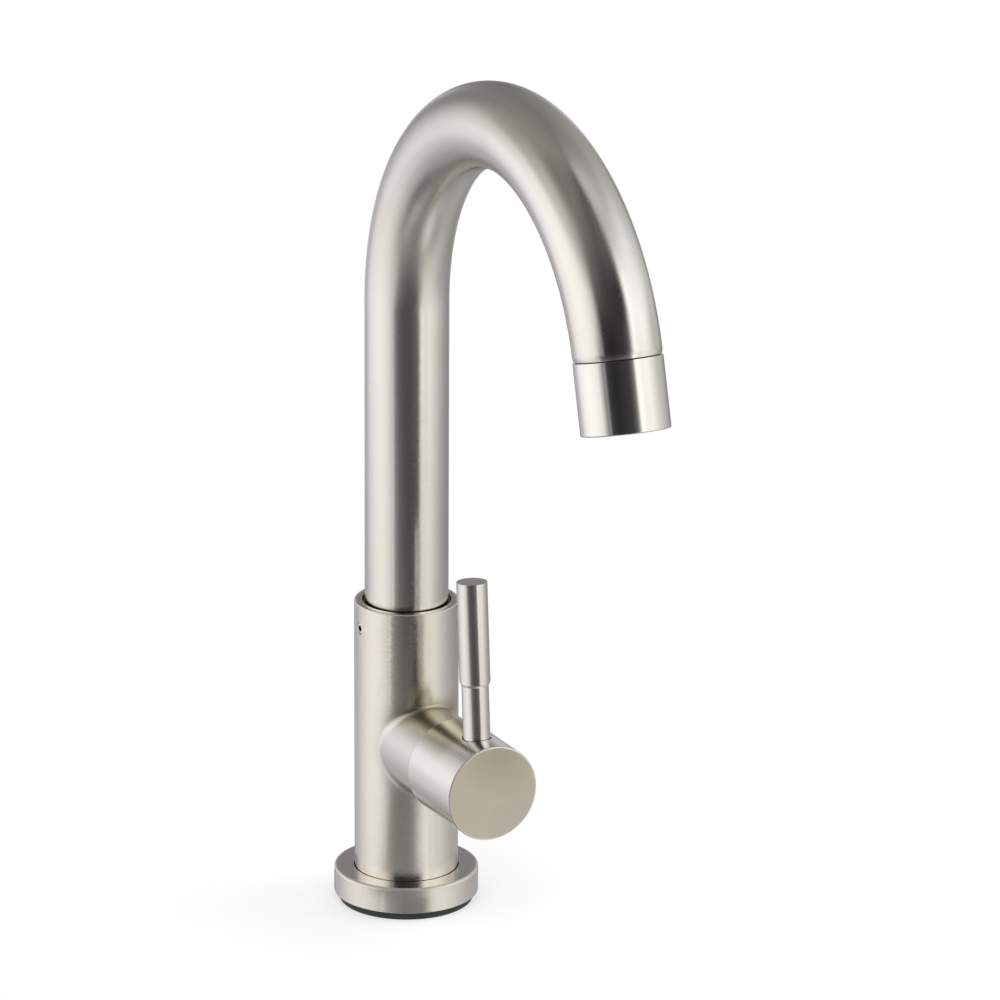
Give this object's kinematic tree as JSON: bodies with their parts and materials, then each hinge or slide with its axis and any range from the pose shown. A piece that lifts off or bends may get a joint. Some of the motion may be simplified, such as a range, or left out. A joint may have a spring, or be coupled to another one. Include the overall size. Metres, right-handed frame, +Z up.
{
  "type": "single-handle basin mixer tap",
  "caption": "Deck-mounted basin mixer tap with an upright round column, a high-arc swivelling spout with an aerator, and a side pin-lever handle that turns and tilts.",
  "frame": {"origin": "on the deck, at the column's axis, in the plane of the gasket's underside", "axes": "+Z up along the column; -Y is the side that the spout and the handle point to at rest; +X is to the right of a user who faces +Y"},
  "size_m": [0.0488, 0.1903, 0.2985],
  "materials": {
    "satin_steel": "satin, brushed round the axis",
    "satin_tube": "satin, brushed round the tube",
    "bright_collar": "bright satin",
    "screw_steel": "plain steel",
    "brass": "turned brass",
    "gasket_rubber": "dark green rubber",
    "black_rubber": "black rubber",
    "white_plastic": "white plastic",
    "grey_plastic": "dark grey plastic",
    "ceramic": "ground alumina ceramic"
  },
  "bodies": {
    "column_group": {"deck_gasket": "gasket_rubber", "cover_ring": "satin_steel", "ring_seal": "black_rubber", "column": "satin_steel", "swivel_screw": "screw_steel", "thrust_washer": "white_plastic", "cartridge_seals": "black_rubber", "cartridge_base": "white_plastic", "fixed_disc": "ceramic", "cartridge_housing": "white_plastic", "cartridge_nut": "brass", "dome_cover": "satin_steel"},
    "spout": {"spout_tube": "satin_tube", "spout_bush": "brass", "spout_seals": "black_rubber", "slip_rings": "white_plastic", "outlet_insert": "brass", "aerator_collar": "bright_collar", "aerator_washer": "black_rubber", "aerator_cage": "white_plastic", "aerator_screens": "screw_steel"},
    "carrier_group": {"spindle_carrier": "grey_plastic", "pivot_pin": "screw_steel"},
    "slider_group": {"moving_disc": "ceramic", "disc_slider": "grey_plastic"},
    "handle": {"spindle": "brass", "handle_cap": "satin_steel", "cap_screw": "screw_steel", "lever_stem": "satin_steel", "lever_grip": "satin_steel"}
  },
  "joints": [
    {"name": "spout_swivel", "type": "hinge", "parent": "column_group", "child": "spout", "pos_m": [0, 0, 0.0985], "axis": [0, 0, 1], "continuous": true},
    {"name": "handle_turn", "type": "hinge", "parent": "column_group", "child": "carrier_group", "pos_m": [0, -0.0318, 0.0585], "axis": [0, -1, 0], "range_deg": [-45, 45]},
    {"name": "disc_slide", "type": "slide", "parent": "carrier_group", "child": "slider_group", "axis": [0, 0, 1], "range_m": [0, 0.0029]},
    {"name": "handle_tilt", "type": "hinge", "parent": "carrier_group", "child": "handle", "pos_m": [0, -0.0318, 0.0585], "axis": [1, 0, 0], "range_deg": [0, 20]}
  ],
  "couplings": [
    {"joint": "disc_slide", "follows": "handle_tilt", "m_per_rad": 0.00803}
  ]
}
